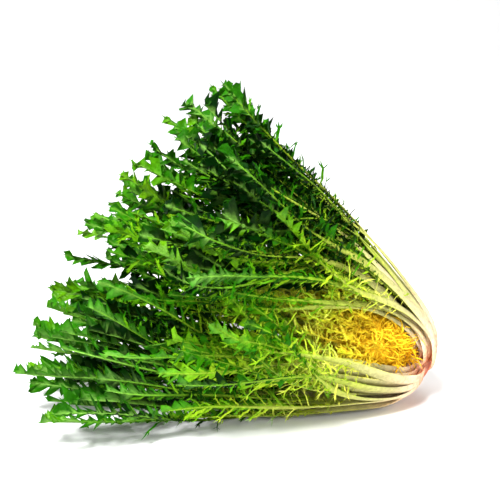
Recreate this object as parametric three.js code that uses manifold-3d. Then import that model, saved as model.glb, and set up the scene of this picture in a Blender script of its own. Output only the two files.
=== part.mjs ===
// A curly endive (frisee) head, cut from its root and lying on its side on a flat surface.
// Millimetres, +Z up. The butt is at +X, the leaves fan out towards -X and upwards, and the outer
// leaves are parted on the -Y side, where the yellow heart shows. The origin is the bottom centre.
//
// Every leaf lies on its own shell, a bowl that opens into a cone round the head's axis. The shells
// are nested, so leaves that overlap as seen from the axis never cross.
import * as THREE from "three";
import { mergeVertices } from "three/addons/utils/BufferGeometryUtils.js";
import Module from "manifold-3d";

const wasm = await Module();
wasm.setup();

// ---------------------------------------------------------------- driving dimensions (mm, degrees)
const LEAF_COUNT = 48;
const GOLDEN_ANGLE = 137.50776;
const AXIS_RISE = 28; // the axis above the surface
const BUTT_HEIGHT = 29; // the stem's middle, at its rim, above the surface

const STUMP = { cutAt: -5, cutRadius: 14.4, rimAt: -1, rimRadius: 15.7, topAt: 20, topRadius: 8 };

// Where the innermost and the outermost shell start on the stump, and how they bulge and open.
const INNER = { radius: 9.6, height: 19, bulge: 16, drop: 8, opening: 12 };
const OUTER = { radius: 17.6, height: -3.5, bulge: 13, drop: 8 };
const OUTER_OPENING = { up: 24, side: 28.5, down: 28 };
const SAG = 1.5; // how much more the outermost shell bulges below than above
const BULGE_LENGTH = 14;

// The parting on the -Y side, round the axis. The inner leaves stand clear of it from their roots,
// and the outer ones bend clear of it. Beyond the heart the inner leaves close it again, down to a
// share of its width at their ends, while the outer ones stay open.
const PARTING = { middle: 108, half: 43, clearBy: 32, narrowsFrom: 80, narrowsTo: 260 };
const END_SHARE = { inner: 0.15, outer: 0.85 };

// A leaf reaches this far, less for each degree that its end points above or below the level one,
// less for those underneath and for the inner ones, and varies by a share of its length. It sways
// round the axis by a few degrees.
const REACH = 332;
const LEVEL = 6;
const REACH_LOSS = 1.3;
const SHORTER_BELOW = 18;
const SHORTER_INSIDE = 0.12;
const LENGTH_CHANGE = 0.06;
const SWAY = { degrees: 7, wave: 46 };
const BLADE = 0.8;
const RIB = { innerHalf: 3.6, outerHalf: 6.8, share: 0.38, endHalf: 1, baseKeel: 1.5, endKeel: 0.25 };
const BARE_SHARE = 0.27; // the share of a leaf's length, from its root, with no lobes
const LOBES_A_SIDE = 8;

const HEART = { from: 22, to: 99, radius: 21.5, spill: 1.2, spillHalf: 41, frills: 40 };
const SPRAY = { from: 102, to: 124, radius: 9, leaves: 18, lean: 10, leanInParting: 30 };

const COLOURS = {
  stump: "#e6c19c",
  heart: "#f2c81e",
  inner_spray: "#8fbf2f",
  inner_leaf: "#7db534",
  outer_leaf: "#4d9428",
};

// ---------------------------------------------------------------- small maths
const rad = THREE.MathUtils.degToRad;
const { lerp, clamp, smoothstep } = THREE.MathUtils;

// A repeatable number from -1 to 1 for the k-th choice about the i-th thing.
function chance(i, k) {
  const x = Math.sin(i * 12.9898 + k * 78.233 + 1.7) * 43758.5453;
  return 2 * (x - Math.floor(x)) - 1;
}

// ---------------------------------------------------------------- the shells
const AXIS = new THREE.Vector3(-Math.cos(rad(AXIS_RISE)), 0, Math.sin(rad(AXIS_RISE)));
const ABOVE = new THREE.Vector3(Math.sin(rad(AXIS_RISE)), 0, Math.cos(rad(AXIS_RISE)));
const NEAR = new THREE.Vector3(0, -1, 0);
const BUTT = new THREE.Vector3(0, 0, BUTT_HEIGHT);

// The outermost shell's opening at an azimuth, which counts from above the axis towards -Y.
function outerOpening(azimuth) {
  const c = Math.cos(rad(azimuth));
  const { up, side, down } = OUTER_OPENING;
  return lerp(side, c > 0 ? up : down, c * c);
}

// A shell's profile: radius, height along the axis, and the angle that it leans out there.
function shell(layer, azimuth, s) {
  const below = (1 - Math.cos(rad(azimuth))) / 2;
  const opening = rad(lerp(INNER.opening, outerOpening(azimuth), layer));
  const bulge = lerp(INNER.bulge, OUTER.bulge + SAG * below, layer);
  const drop = lerp(INNER.drop, OUTER.drop, layer);
  const fade = Math.exp(-s / BULGE_LENGTH);
  return {
    radius:
      lerp(INNER.radius, OUTER.radius, layer) + s * Math.sin(opening) + bulge * (1 - fade),
    height: lerp(INNER.height, OUTER.height, layer) + s * Math.cos(opening) - drop * (1 - fade),
    lean: Math.atan2(
      Math.sin(opening) + (bulge / BULGE_LENGTH) * fade,
      Math.cos(opening) - (drop / BULGE_LENGTH) * fade,
    ),
  };
}

// The point at a radius and a height, on the side of the axis that the azimuth names.
function roundAxis(radius, height, azimuth) {
  return BUTT.clone()
    .addScaledVector(AXIS, height)
    .addScaledVector(ABOVE, radius * Math.cos(rad(azimuth)))
    .addScaledVector(NEAR, radius * Math.sin(rad(azimuth)));
}

// The point of a shell at a distance s from its root, lifted outwards by out.
function onShell(layer, azimuth, s, out) {
  const at = shell(layer, azimuth, s);
  return roundAxis(
    at.radius + out * Math.cos(at.lean),
    at.height - out * Math.sin(at.lean),
    azimuth,
  );
}

// ---------------------------------------------------------------- closed meshes
// Collects points and outward faces, and turns them into a geometry.
class Faces {
  points = [];
  triangles = [];
  point(p) {
    this.points.push(p.x, p.y, p.z);
    return this.points.length / 3 - 1;
  }
  triangle(a, b, c) {
    this.triangles.push(a, b, c);
  }
  quad(a, b, c, d) {
    this.triangle(a, b, c);
    this.triangle(a, c, d);
  }
  geometry() {
    return new THREE.BufferGeometry()
      .setAttribute("position", new THREE.Float32BufferAttribute(this.points, 3))
      .setIndex(this.triangles);
  }
}

function solid(geometry) {
  const bare = geometry.clone();
  bare.deleteAttribute("normal");
  bare.deleteAttribute("uv");
  const merged = mergeVertices(bare, 1e-3);
  return new wasm.Manifold(
    new wasm.Mesh({
      numProp: 3,
      vertProperties: merged.attributes.position.array,
      triVerts: new Uint32Array(merged.index.array),
    }),
  );
}

function geometryOf(manifold) {
  const mesh = manifold.getMesh();
  return new THREE.BufferGeometry()
    .setAttribute("position", new THREE.BufferAttribute(mesh.vertProperties, 3))
    .setIndex(new THREE.BufferAttribute(mesh.triVerts, 1));
}

// ---------------------------------------------------------------- one leaf
// A leaf's mesh is a row of rib sections with a lobe on each side between two of them. A section
// has six corners: the left and right edge and the middle, each on the inner and the outer face.
// place(s, v, out) says where the point lies that is s along the rib, v across it and out outwards.
function leafGeometry({ place, sections, ribHalf, keel, lobe, tip }) {
  const faces = new Faces();
  const half = BLADE / 2;
  const corner = (s, v, out) => faces.point(place(s, v, out));
  const rows = sections.map((s) => ({
    s,
    leftIn: corner(s, -ribHalf(s), -half),
    leftOut: corner(s, -ribHalf(s), half),
    midIn: corner(s, 0, -half),
    midOut: corner(s, 0, half + keel(s)),
    rightIn: corner(s, ribHalf(s), -half),
    rightOut: corner(s, ribHalf(s), half),
  }));

  const root = rows[0];
  faces.quad(root.leftIn, root.leftOut, root.midOut, root.midIn);
  faces.quad(root.midIn, root.midOut, root.rightOut, root.rightIn);

  rows.slice(1).forEach((b, k) => {
    const a = rows[k];
    faces.quad(a.leftIn, a.midIn, b.midIn, b.leftIn);
    faces.quad(a.midIn, a.rightIn, b.rightIn, b.midIn);
    faces.quad(a.midOut, a.leftOut, b.leftOut, b.midOut);
    faces.quad(a.rightOut, a.midOut, b.midOut, b.rightOut);
    for (const side of [-1, 1]) {
      const edge =
        side < 0
          ? [a.leftIn, a.leftOut, b.leftIn, b.leftOut]
          : [a.rightOut, a.rightIn, b.rightOut, b.rightIn];
      addEdge(faces, corner, edge, side, lobe(k, side));
    }
  });

  const end = rows.at(-1);
  const point = corner(tip.s, tip.v, tip.out);
  faces.triangle(end.leftIn, end.midIn, point);
  faces.triangle(end.midIn, end.rightIn, point);
  faces.triangle(end.midOut, end.leftOut, point);
  faces.triangle(end.rightOut, end.midOut, point);
  faces.triangle(end.leftOut, end.leftIn, point);
  faces.triangle(end.rightIn, end.rightOut, point);
  return faces.geometry();
}

// Closes the rib's side between two sections: a plain wall, or a lobe with a shoulder and a tip.
// The lobe is a thin blade, and only its tip is sharp.
function addEdge(faces, corner, edge, side, lobe) {
  const [aFirst, aSecond, bFirst, bSecond] = edge;
  if (!lobe) {
    faces.quad(aSecond, aFirst, bFirst, bSecond);
    return;
  }
  const half = BLADE / 2;
  const [firstOut, secondOut] = side < 0 ? [-half, half] : [half, -half];
  const shoulder = lobe.shoulder;
  const first = corner(shoulder.s, shoulder.v, shoulder.out + firstOut);
  const second = corner(shoulder.s, shoulder.v, shoulder.out + secondOut);
  const tip = corner(lobe.tip.s, lobe.tip.v, lobe.tip.out);
  faces.triangle(aFirst, bFirst, first);
  faces.triangle(bFirst, tip, first);
  faces.triangle(aSecond, second, bSecond);
  faces.triangle(second, tip, bSecond);
  faces.quad(aSecond, aFirst, first, second);
  faces.triangle(second, first, tip);
  faces.triangle(bSecond, tip, bFirst);
}

// ---------------------------------------------------------------- the leaves round the heart
// How far waves may lift a blade off its shell at a distance from the root.
const waveRoom = (s) => clamp(0.024 * s - 0.6, 0.1, 6.5);

function leafRule(i) {
  const layer = (i + 0.5) / LEAF_COUNT;
  const turn = (i * GOLDEN_ANGLE + 3 * chance(i, 1) + 360) % 360;
  const parted = (s) => {
    const clear = lerp(1 - 0.7 * layer, 1, smoothstep(s, 0, PARTING.clearBy));
    const narrowed = smoothstep(s, PARTING.narrowsFrom, PARTING.narrowsTo);
    const endShare = lerp(END_SHARE.inner, END_SHARE.outer, smoothstep(layer, 0.1, 0.5));
    return PARTING.half * clear * lerp(1, endShare, narrowed);
  };
  const sway = (s) =>
    SWAY.degrees * chance(i, 2) * smoothstep(s, 0, 120) * Math.sin(s / SWAY.wave + i);
  const azimuth = (s) => PARTING.middle + turn + parted(s) * (1 - turn / 180) + sway(s);
  const end = Math.cos(rad(azimuth(REACH)));
  const opening = lerp(INNER.opening, outerOpening(azimuth(REACH)), layer);
  const rise = AXIS_RISE + opening * end;
  const underneath = layer * Math.max(0, -end) ** 3;
  const reach = REACH - REACH_LOSS * Math.abs(rise - LEVEL) - SHORTER_BELOW * underneath;
  const share = 1 - SHORTER_INSIDE * (1 - layer) - LENGTH_CHANGE * (0.5 + 0.5 * chance(i, 3));
  const length = reach * share;
  return { layer, azimuth, length };
}

function headLeaf(i) {
  const { layer, azimuth, length } = leafRule(i);
  const bare = length * BARE_SHARE;
  const radiusAt = (s) => shell(layer, azimuth(s), s).radius;
  const baseHalf = lerp(RIB.innerHalf, RIB.outerHalf, layer);
  const ribHalf = (s) =>
    Math.min(lerp(baseHalf, RIB.endHalf, Math.pow(s / length, 0.45)), RIB.share * radiusAt(s));
  const keel = (s) => lerp(RIB.baseKeel, RIB.endKeel, Math.pow(s / length, 0.6));
  const wobble = (s) => 0.3 * waveRoom(s) * Math.sin(s / 28 + 2.4 * i);

  const place = (s, v, out) => {
    const round = azimuth(s) + THREE.MathUtils.radToDeg(v / radiusAt(s));
    return onShell(layer, round, s, out + wobble(s));
  };

  const bareSections = [0, 0.2, 0.55].map((share) => share * bare);
  const lobeStep = (length * 0.96 - bare) / LOBES_A_SIDE;
  const lobedSections = Array.from({ length: LOBES_A_SIDE + 1 }, (_, k) => bare + k * lobeStep);
  const sections = [...bareSections, ...lobedSections];

  const lobe = (k, side) => {
    const n = k - bareSections.length;
    if (n < 0) return null;
    const from = sections[k];
    const share = (n + 0.5) / LOBES_A_SIDE;
    const room = waveRoom(from) * 0.62;
    const widest = Math.min(0.2 * radiusAt(from) - ribHalf(from), 19);
    const reach = widest * (0.55 + 0.45 * Math.sin(Math.PI * (0.2 + 0.62 * share)));
    const size = reach * (0.88 + 0.12 * chance(i * 31 + k, 4 + side));
    const lift = room * chance(i * 17 + k, 7 + side);
    const edge = ribHalf(from + lobeStep);
    return {
      shoulder: {
        s: from + 0.5 * lobeStep + 0.22 * size,
        v: side * (edge + 0.6 * size),
        out: 0.45 * lift,
      },
      tip: {
        s: from + lobeStep + 0.3 * size,
        v: side * (edge + size),
        out: lift,
      },
    };
  };
  const tip = { s: length, v: 2 * chance(i, 9), out: 0 };
  return leafGeometry({ place, sections, ribHalf, keel, lobe, tip });
}

// ---------------------------------------------------------------- stump, heart and inner spray
function lathe(profile, segments) {
  const turned = new THREE.LatheGeometry(
    profile.map(([r, h]) => new THREE.Vector2(r, h)),
    segments,
  );
  // The lathe turns round +Y, so its frame is laid onto the head's axis.
  const frame = new THREE.Matrix4().makeBasis(ABOVE, AXIS, ABOVE.clone().cross(AXIS));
  frame.setPosition(BUTT);
  return turned.applyMatrix4(frame);
}

function stumpGeometry() {
  return lathe(
    [
      [0, STUMP.cutAt],
      [STUMP.cutRadius, STUMP.cutAt],
      [STUMP.rimRadius, STUMP.rimAt],
      [STUMP.topRadius, STUMP.topAt],
      [0, STUMP.topAt + 1],
    ],
    20,
  );
}

// An egg round the axis, which spills out through the parting by a share of its own radius.
function egg({ from, to, radius, spill = 0, spillHalf = 1 }) {
  return (t, azimuth) => {
    const away = Math.min(1, Math.abs(azimuth - PARTING.middle) / spillHalf);
    const more = spill * Math.cos((away * Math.PI) / 2) ** 2 * smoothstep(t, 0, 0.2);
    const r = radius * Math.pow(Math.sin(Math.PI * Math.pow(t, 0.85)), 0.8) * (1 + more);
    return roundAxis(r, lerp(from, to, t), azimuth);
  };
}

// A closed mesh of rings from pole to pole, where at(t, azimuth) gives each point.
function ringed(at, rings, segments) {
  const faces = new Faces();
  const first = faces.point(at(0, 0));
  const rows = Array.from({ length: rings - 1 }, (_, k) =>
    Array.from({ length: segments }, (_, j) =>
      faces.point(at((k + 1) / rings, (j * 360) / segments)),
    ),
  );
  const last = faces.point(at(1, 0));
  for (let j = 0; j < segments; j++) {
    const next = (j + 1) % segments;
    faces.triangle(first, rows[0][j], rows[0][next]);
    faces.triangle(last, rows.at(-1)[next], rows.at(-1)[j]);
    for (let k = 1; k < rows.length; k++) {
      faces.quad(rows[k - 1][next], rows[k - 1][j], rows[k][j], rows[k][next]);
    }
  }
  return faces.geometry();
}

// A frill or a narrow leaf that grows out of a core, along a line that leans out from the axis on
// the side of an azimuth, and curls.
function sprig({ root, azimuth, lean, length, half, lobes, seed, curl }) {
  const out = roundAxis(1, 0, azimuth).sub(BUTT);
  const across = AXIS.clone().cross(out);
  const along = AXIS.clone()
    .multiplyScalar(Math.cos(rad(lean)))
    .addScaledVector(out, Math.sin(rad(lean)));
  const normal = across.clone().cross(along).negate();
  const place = (s, v, lift) =>
    root
      .clone()
      .addScaledVector(along, s)
      .addScaledVector(across, v)
      .addScaledVector(normal, lift + curl * (s / length) ** 2 * length);
  const step = (length * 0.92) / lobes;
  const sections = Array.from({ length: lobes + 1 }, (_, k) => k * step);
  const ribHalf = (s) => lerp(half, half * 0.35, s / length);
  const lobe = (k, side) => {
    if (k === 0) return null;
    const size = half * (2.6 + 0.8 * chance(seed + k, 11 + side));
    const lift = 0.35 * size * chance(seed + k, 13 + side);
    return {
      shoulder: { s: sections[k] + 0.75 * step, v: side * (half + 0.5 * size), out: 0.5 * lift },
      tip: { s: sections[k] + 1.35 * step, v: side * (half + size), out: lift },
    };
  };
  return leafGeometry({
    place,
    sections,
    ribHalf,
    keel: () => 0.2,
    lobe,
    tip: { s: length, v: 0, out: 0 },
  });
}

// The core and the frills that stand on it, as one body.
function fused(core, sprigs) {
  const whole = wasm.Manifold.union([solid(core), ...sprigs.map(solid)]);
  const [largest] = whole.decompose().sort((a, b) => b.volume() - a.volume());
  return geometryOf(largest);
}

function heartGeometry() {
  const surface = egg(HEART);
  const sprigs = Array.from({ length: HEART.frills }, (_, i) => {
    const azimuth = (i * GOLDEN_ANGLE) % 360;
    const t = lerp(0.1, 0.93, (i + 0.5) / HEART.frills);
    const root = surface(t, azimuth).lerp(surface(t, (azimuth + 180) % 360), 0.06);
    return sprig({
      root,
      azimuth,
      lean: lerp(52, 26, t) + 10 * chance(i, 21),
      length: 12.5 + 2 * chance(i, 22),
      half: 1.4,
      lobes: 2,
      seed: i * 5,
      curl: 0.25 * chance(i, 23),
    });
  });
  return fused(ringed(surface, 6, 16), sprigs);
}

// The spray's leaves stand close round the axis. Those on the parting's side lean out through it.
function sprayRule(i) {
  const { from, to, radius, leaves, lean, leanInParting } = SPRAY;
  const share = (i + 0.5) / leaves;
  const turn = (i * GOLDEN_ANGLE) % 360;
  const through = i % 2 === 0;
  const azimuth = through ? PARTING.middle + 0.13 * (turn - 180) : turn;
  return {
    root: roundAxis(lerp(1, radius * 0.6, share), lerp(to - 6, from + 8, share), azimuth),
    azimuth,
    lean: lerp(3, through ? leanInParting : lean, share),
    length: 145 + 25 * chance(i, 31),
    half: 2,
    lobes: 5,
    seed: i * 7,
    curl: 0.03 * chance(i, 32),
  };
}

function sprayGeometry() {
  const sprigs = Array.from({ length: SPRAY.leaves }, (_, i) => sprig(sprayRule(i)));
  return fused(ringed(egg(SPRAY), 4, 10), sprigs);
}

// ---------------------------------------------------------------- the head
// What would reach below the surface lies pressed flat on it.
function pressedFlat(geometry) {
  geometry.computeBoundingBox();
  if (geometry.boundingBox.min.z >= 0) return geometry;
  const ground = new THREE.BoxGeometry(1000, 1000, 100).translate(0, 0, -50);
  const [largest] = solid(geometry)
    .subtract(solid(ground))
    .decompose()
    .sort((a, b) => b.volume() - a.volume());
  return geometryOf(largest);
}

function piece(name, geometry, colour, roughness) {
  const material = new THREE.MeshStandardMaterial({
    color: colour,
    roughness,
    metalness: 0,
    flatShading: true,
  });
  const mesh = new THREE.Mesh(geometry, material);
  mesh.name = name;
  return mesh;
}

const head = new THREE.Group();
head.add(piece("stump", stumpGeometry(), COLOURS.stump, 0.6));
head.add(piece("heart", heartGeometry(), COLOURS.heart, 0.5));
head.add(piece("inner_spray", sprayGeometry(), COLOURS.inner_spray, 0.5));
for (let i = 0; i < LEAF_COUNT; i++) {
  const colour = i < LEAF_COUNT / 3 ? COLOURS.inner_leaf : COLOURS.outer_leaf;
  const name = "leaf_" + String(i + 1).padStart(2, "0");
  head.add(piece(name, pressedFlat(headLeaf(i)), colour, 0.45));
}

// The origin is the bottom centre of the whole head.
const bounds = new THREE.Box3().setFromObject(head);
const centre = bounds.getCenter(new THREE.Vector3());
head.position.set(-centre.x, -centre.y, -bounds.min.z);

const part = new THREE.Group();
part.add(head);
export default part;
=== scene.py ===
"""A curly endive head, cut from its root and lying on its side.

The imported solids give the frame. Each long leaf, the heart, the inner spray and the stump are worked
out again here on the same shells, with the lobes, teeth, curls and colours that the solids leave out.
Smaller leaves are added between them, within them and round the parting.

Lengths are millimetres while a shape is worked out, and metres in the meshes. Angles are degrees. An
azimuth goes round the head's own axis, from above it (0) to its near side (90), its underside (180)
and its far side (270).
"""

import math

import bpy
import numpy as np
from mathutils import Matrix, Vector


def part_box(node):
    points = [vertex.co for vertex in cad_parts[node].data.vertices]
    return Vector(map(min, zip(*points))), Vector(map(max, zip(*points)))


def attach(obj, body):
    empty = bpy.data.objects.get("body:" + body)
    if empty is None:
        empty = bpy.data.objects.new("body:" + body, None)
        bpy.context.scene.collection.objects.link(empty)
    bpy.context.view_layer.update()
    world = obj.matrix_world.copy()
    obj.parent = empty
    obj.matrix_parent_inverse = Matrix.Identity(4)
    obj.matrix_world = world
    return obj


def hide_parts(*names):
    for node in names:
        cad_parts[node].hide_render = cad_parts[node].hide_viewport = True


bl_info = {
    "name": "Curly endive head",
    "version": (1, 0, 0),
    "blender": (4, 5, 0),
    "location": "3D View > Sidebar > Endive",
    "description": "Grows a whole head of curly endive on its packed solids",
    "category": "Object",
}

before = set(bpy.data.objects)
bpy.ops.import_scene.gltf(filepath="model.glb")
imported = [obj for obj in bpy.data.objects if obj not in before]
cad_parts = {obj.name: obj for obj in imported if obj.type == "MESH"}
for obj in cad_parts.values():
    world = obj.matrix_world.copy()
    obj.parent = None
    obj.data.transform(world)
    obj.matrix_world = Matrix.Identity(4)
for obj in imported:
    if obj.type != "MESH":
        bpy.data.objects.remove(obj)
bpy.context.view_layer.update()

MM = 0.001
TAU = 2 * math.pi

# ------------------------------------------------------------------ how the head grows
# These follow the solids, so that each finished leaf lies on its own solid.
LEAF_COUNT = 48
GOLDEN_ANGLE = 137.50776
TURN_CHANGE = 3.0
AXIS_RISE = 28.0
BUTT_HEIGHT = 29.0
STUMP_PROFILE = ((14.4, -5.0), (15.7, -1.0), (8.0, 20.0))
INNER = {"radius": 9.6, "height": 19.0, "bulge": 16.0, "drop": 8.0, "opening": 12.0}
OUTER = {"radius": 17.6, "height": -3.5, "bulge": 13.0, "drop": 8.0}
OUTER_OPENING = {"up": 24.0, "side": 28.5, "down": 28.0}
SAG = 1.5
BULGE_LENGTH = 14.0
PARTING = {
    "middle": 108.0,
    "half": 43.0,
    "closed_at_root": 0.7,
    "clear_by": 32.0,
    "narrows": (80.0, 260.0),
}
# The share of the parting that the leaves' ends leave open: on the inner shells, on the outer ones,
# and the layers between which it changes.
END_SHARE = (0.15, 0.85, 0.1, 0.5)
# A leaf reaches so far, less REACH_LOSS for each degree by which its end rises off LEVEL, less
# underneath the head and inside it, and less by a change of its own.
REACH = 332.0
LEVEL = 6.0
REACH_LOSS = 1.3
SHORTER_BELOW = 18.0
SHORTER_INSIDE = 0.12
LENGTH_CHANGE = 0.06
SWAY = {"degrees": 7.0, "wave": 46.0, "grows_by": 120.0}
# Half a rib's width at the root on the inner and outer shells and at its end, its largest share of
# the shell's radius, its keel at the root and at its end, and the powers by which both go.
RIB = {
    "inner": 3.6,
    "outer": 6.8,
    "share": 0.38,
    "end": 1.0,
    "taper": 0.45,
    "keel": 1.5,
    "end_keel": 0.25,
    "keel_taper": 0.6,
}
# An egg along the axis, blunt at its low end, which spills out through the parting.
HEART = {
    "from": 16.0,
    "to": 106.0,
    "radius": 21.5,
    "blunt": 0.1,
    "spill": 1.5,
    "spill_half": 70.0,
    "spill_at": 73.0,
}
SPRAY = {"from": 102.0, "to": 124.0, "radius": 9.0, "lean": 10.0, "through": 30.0, "height": 62.0}

# What only the finished leaves do: their ends bend off the shell, sway along it and roll about their
# own ribs. Between the shells they stray further, and at the edges of the parting they drift round
# the head. "from" and "grows" are the ranges over which something fades in.
# Waves go by a sine of the way along over "wave".
WAVE_ROOM = {"per_mm": 0.024, "less": 0.6, "least": 0.1, "most": 6.5}
LIFT_WAVE = {"share": 0.3, "wave": 28.0, "phase": 2.4}
END_BEND = {"mm": 13.0, "from": (0.55, 1.05)}
END_SWAY = {"mm": 17.0, "from": (0.5, 1.05)}
ROLL = {"degrees": 62.0, "swing": 0.8, "wave": 37.0, "from": (0.3, 0.75)}
ROLL_FREE = (0.35, 1, 0.15, 0.5)
EDGE_ROLL = {"degrees": -52.0, "width": 34.0, "at": 60.0, "from": (8.0, 40.0)}
EDGE_LIFT = {"degrees": 17.0, "width": 50.0, "fades": (70.0, 210.0)}
STRAY_TIP = {"leaf": 42, "longer": 1.05}
STRAY = {"degrees": 9.0, "wave": 62.0, "grows": (60.0, 260.0), "mm": 16.0, "from": (0.35, 1.0)}
STRAY_END_SHARE = 0.05
EDGE_SWING = {"degrees": 5.0, "wave": 41.0, "grows": (30.0, 120.0)}
EDGE_DRIFTS = (20.0, 220.0)
EDGE_RIB = (1.05, 0.95, 40, 120)
EDGE_ENDS = {"wave_share": 0.4, "wave": 23.0, "inwards": 0.5, "lift_from": (0.4, 1.05)}
EDGE_ENDS_ROLL = {"degrees": 65.0, "wave": 31.0, "from": (0.25, 0.7), "facing": 0.7, "past": 15.0}
NARROW = {"across": (3.0, 21.0), "off": (2.5, 17.0), "grows_by": 40.0, "roll": 50.0, "slims": 0.6}

# A side of the head turns into its top or its underside between these cosines of the azimuth.
UPRIGHT = (0.2, 0.7)
# Painted shade, where leaves are coloured darker for their place: round which azimuth, and by how much,
# on either side of the parting.
PAINTED_SHADE = {"above": (45.0, 0.84), "below": (150.0, 0.38), "width": 42.0, "at": 160.0}

# ------------------------------------------------------------------ how each kind of leaf is built up
# stations: rings along the rib and along the blade. bare: share of the rib below the blade. notch:
# share of the width that is left between two lobes. slant: angle of a lobe to the rib. ruffle: height
# of the ruffles. breadth: share of the full width at the start and in the middle of the blade, which
# goes from the one to the other over rises. leaflets: first and last place as shares of the rib, and
# pairs of them. leaflet_half: half their width. lift, outwards: how far their angles off the leaf
# spread, and round what. curl: by how much they wind.
KINDS = {
    "long": {
        "stations": (32, 150),
        "slant": 47,
        "ruffle": 5.2,
        "breadth": (0.16, 0.35),
        "leaflet_half": 0.72,
        "lift": 44,
        "outwards": 8,
        "curl": 80,
    },
    "between": {
        "stations": (24, 110),
        "notch": 0.12,
        "slant": 45,
        "ruffle": 5.6,
        "breadth": (0.2, 0.35),
        "rises": (0.2, 0.58),
        "leaflet_half": 0.68,
        "lift": 50,
        "outwards": 6,
        "curl": 90,
    },
    "within": {
        "stations": (16, 70),
        "bare": 0.34,
        "notch": 0.5,
        "slant": 45,
        "ruffle": 3.0,
        "breadth": (0.3, 0.8),
        "rises": (0.05, 0.3),
    },
    "edge": {
        "stations": (30, 90),
        "bare": 0.34,
        "notch": 0.12,
        "slant": 45,
        "ruffle": 4.0,
        "breadth": (0.2, 0.55),
        "rises": (0.15, 0.5),
        "leaflets": (0.3, 0.88, 17),
        "leaflet_half": 0.66,
        "lift": 50,
        "outwards": 10,
        "curl": 90,
    },
    "spray": {
        "stations": (26, 60),
        "bare": 0.06,
        "half": 6.2,
        "lobe": 4.0,
        "notch": 0.1,
        "slant": 46,
        "ruffle": 2.4,
        "breadth": (0.4, 0.6),
        "rises": (0.08, 0.35),
        "leaflets": (0.03, 0.97, 8),
        "leaflet_half": 0.75,
        "lift": 50,
        "outwards": 0,
        "curl": 110,
    },
    "frill": {
        "stations": (16, 40),
        "bare": 0.1,
        "half": 3.0,
        "lobe": 4.0,
        "notch": 0.2,
        "slant": 45,
        "ruffle": 1.8,
        "breadth": (0.5, 0.7),
        "rises": (0.08, 0.35),
        "leaflets": (0.05, 0.95, 12),
        "leaflet_half": 0.6,
        "lift": 60,
        "outwards": 0,
        "curl": 120,
    },
}

# A rib's section, point by point: its place across as a share of the half width, how much of the keel
# it stands out by, what is added to that, and how much of the blade's green it takes on.
RIB_ACROSS = np.array([-1, -0.45, 0.45, 1, 0.9, 0.5, -0.5, -0.9])
RIB_KEELED = np.array([0, 0.1, 0.1, 0, 0.3, 1, 1, 0.3])
RIB_OUT = np.array([0, -0.35, -0.35, 0, 0.1, 0.35, 0.35, 0.1])
RIB_GREEN = np.array([1, 0.2, 0.2, 1, 0.6, 0, 0, 0.6])
# How that changes: a value before, one after, and the range between them, along the rib as a share
# of it (slims) or in millimetres.
RIB_SLIMS = (1, 0.45, 0.3, 0.75)
RIB_WIDENS = (1, 1.2, 4, 30)
RIB_GREENS = (0, 0.46, 10, 70)
RIB_CLOSER = 1.15
RIB_END = {"ring": 0.95, "point": 0.97}

# The long sheet of a blade. Four numbers are a value before, one after, and the range between them.
BLADE_END = 0.985
BLADE_ROUNDS = 0.075
BLADE_HALF_THICKNESS = 0.18
BREADTH_FULL = (0.54, 0.84)
NOTCH = {"start": 0.7, "start_to": (0.05, 0.2), "end": 0.16, "end_from": (0.85, 0.95)}
TEETH = (0.36, 0.2, 0.5, 0.85)
LOBES_GROW = 2.7
LOBE_POWER = (2.1, 1.5, 0.55, 0.9)
LOBE_FAN = -36.0
LOBE_LEAN_CHANGE = 22.0
VEIN_SHOWS = 0.4
MIDDLE_GREEN = 0.34

# A leaflet's outline: the part of a half sine that it takes, and to which power. Its two teeth grow
# from one of its stations, and their sizes are shares of its own.
OUTLINE = {"from": 0.18, "grows": 0.86, "power": 0.7}
FORK = {"at": 3, "length": 0.4, "half": 0.75, "turn": 46.0}

# Colours go by the way along as a share of this length.
GROWTH_UNIT = 300.0
# The lowest that a point may lie, in metres, and the angle from which an edge is sharp.
FLOOR_GAP = 0.0002
SHARP_ANGLE = 55.0


# ------------------------------------------------------------------ small maths
def lerp(a, b, t):
    return a + (b - a) * t


def smoothstep(x, low, high):
    t = np.clip((np.asarray(x, float) - low) / (high - low), 0, 1)
    return t * t * (3 - 2 * t)


def eased(x, before, after, low, high):
    """The one value up to x = low, the other from x = high, and a smooth step between them."""
    return lerp(before, after, smoothstep(x, low, high))


def cosd(a):
    return np.cos(np.radians(a))


def sind(a):
    return np.sin(np.radians(a))


def bell(x):
    """1 at 0, and less to both sides: the exponential of minus the square."""
    return np.exp(-x * x)


def rolled(a, b, angle):
    """The pair (a, b), turned by an angle in radians from a towards b."""
    return a * np.cos(angle) - b * np.sin(angle), a * np.sin(angle) + b * np.cos(angle)


def chance(i, k):
    """A repeatable number from -1 to 1: the fraction of a large sine of i and k. i counts the thing
    that it is about. k only tells the choices about that thing apart, and has no other meaning."""
    x = np.sin(np.asarray(i, float) * 12.9898 + np.asarray(k, float) * 78.233 + 1.7) * 43758.5453
    return 2 * (x - np.floor(x)) - 1


# ------------------------------------------------------------------ the shells that leaves lie on
AXIS = np.array([-cosd(AXIS_RISE), 0, sind(AXIS_RISE)])
ABOVE = np.array([sind(AXIS_RISE), 0, cosd(AXIS_RISE)])
NEAR = np.array([0.0, -1.0, 0.0])
BUTT = np.array([0, 0, BUTT_HEIGHT])


def straight_out(azimuth):
    """The direction away from the axis that an azimuth names."""
    azimuth = np.asarray(azimuth, float)[..., None]
    return cosd(azimuth) * ABOVE + sind(azimuth) * NEAR


def round_axis(radius, height, azimuth):
    """BUTT, plus height along the axis, plus radius in the direction that azimuth names."""
    radius, height, azimuth = np.broadcast_arrays(radius, height, azimuth)
    return BUTT + height[..., None] * AXIS + radius[..., None] * straight_out(azimuth)


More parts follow.
